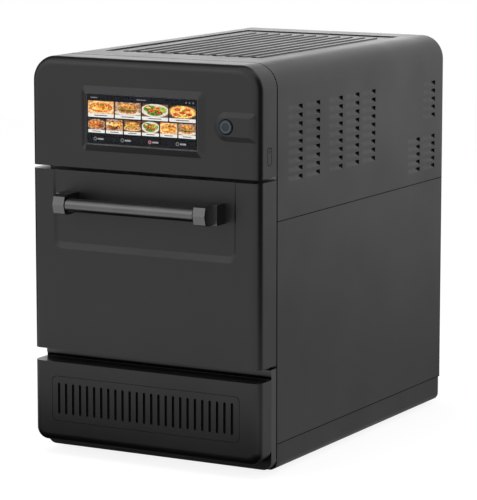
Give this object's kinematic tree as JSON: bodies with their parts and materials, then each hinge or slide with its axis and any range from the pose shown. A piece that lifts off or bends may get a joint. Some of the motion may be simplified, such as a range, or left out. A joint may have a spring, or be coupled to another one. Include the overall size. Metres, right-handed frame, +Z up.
{
  "type": "speed oven",
  "caption": "Tall countertop speed oven with a drop-down door, bar handle, touch screen, push button, pull-out air filter, louvred sides and ribbed top vent.",
  "frame": {"origin": "middle of the footprint, at the surface the oven stands on", "axes": "+Z up, +Y to the rear, +X to the right as seen from the front"},
  "size_m": [0.388, 0.682, 0.605],
  "materials": {
    "black_coat": "matte black powder coat",
    "black_gloss": "gloss black",
    "black_plastic": "matte",
    "screen_glass": "clear touch glass",
    "screen_module": "dark",
    "rubber": "matte",
    "steel": "brushed stainless",
    "zinc": "zinc plated",
    "aluminium": "satin",
    "wool": "mineral wool",
    "ceramic": "ceramic, matte",
    "silicone": "silicone",
    "board": "circuit board",
    "motor": "satin",
    "filter_foam": "open mesh"
  },
  "bodies": {
    "cabinet": {"base_pan": "black_coat", "rubber_feet": "rubber", "foot_screws": "zinc", "sill_frame": "black_coat", "front_frame": "steel", "upper_cover": "black_coat", "top_vent_plate": "black_coat", "side_panel_left": "black_coat", "side_panel_right": "black_coat", "rear_panel": "black_coat", "rear_screws": "zinc", "cable_gland": "black_plastic", "control_fascia": "black_coat", "screen_bezel": "black_coat", "display_glass": "screen_glass", "display_module": "screen_module", "control_board": "board", "button_switch": "black_plastic", "port_socket": "steel", "lower_front_cover": "black_coat", "hinge_bracket_left": "black_coat", "hinge_bracket_right": "black_coat", "cavity_shell": "steel", "jet_plate": "steel", "return_air_grille": "steel", "cook_plate": "ceramic", "wire_rack": "steel", "cavity_wool": "wool", "fan_case": "steel", "fan_motor": "motor", "heater_element": "steel", "temperature_probe": "steel", "exhaust_duct": "steel", "catalytic_filter": "steel", "waveguide": "aluminium", "magnetron": "aluminium", "inverter_board": "aluminium", "power_transformer": "motor", "capacitor": "aluminium", "mains_filter": "motor", "relay_board": "board", "cooling_fan_frames": "black_plastic"},
    "door": {"door_shell": "black_coat", "door_inner_panel": "steel", "door_gasket": "silicone", "door_wool": "wool", "handle_bar": "black_coat", "handle_mount_left": "black_coat", "handle_mount_right": "black_coat", "handle_screws": "zinc", "hinge_lug_left": "zinc", "hinge_lug_right": "zinc", "hinge_pins": "zinc"},
    "air_filter": {"air_filter_grille": "black_coat", "filter_pad": "filter_foam"},
    "button": {"power_button": "black_gloss"},
    "port_flap": {"port_cover": "rubber"},
    "fan_wheel": {"convection_fan": "steel"},
    "left_rotor": {"cooling_rotor_left": "black_plastic"},
    "right_rotor": {"cooling_rotor_right": "black_plastic"}
  },
  "joints": [
    {"name": "door_hinge", "type": "hinge", "parent": "cabinet", "child": "door", "pos_m": [0, -0.282, 0.169], "axis": [1, 0, 0], "range_deg": [0, 90]},
    {"name": "button_press", "type": "slide", "parent": "cabinet", "child": "button", "axis": [0, 1, 0], "range_m": [0, 0.002], "stiffness_N_per_m": 800},
    {"name": "port_flap_hinge", "type": "hinge", "parent": "cabinet", "child": "port_flap", "pos_m": [0.19305, -0.2652, 0.46155], "axis": [0, 1, 0], "range_deg": [0, 100]},
    {"name": "filter_slide", "type": "slide", "parent": "cabinet", "child": "air_filter", "axis": [0, -1, 0], "range_m": [0, 0.04]},
    {"name": "convection_spin", "type": "hinge", "parent": "cabinet", "child": "fan_wheel", "pos_m": [0, 0.134, 0.27498], "axis": [0, 1, 0], "continuous": true},
    {"name": "left_rotor_spin", "type": "hinge", "parent": "cabinet", "child": "left_rotor", "pos_m": [-0.062, -0.228, 0.0931], "axis": [0, 1, 0], "continuous": true},
    {"name": "right_rotor_spin", "type": "hinge", "parent": "cabinet", "child": "right_rotor", "pos_m": [0.062, -0.228, 0.0931], "axis": [0, 1, 0], "continuous": true}
  ]
}
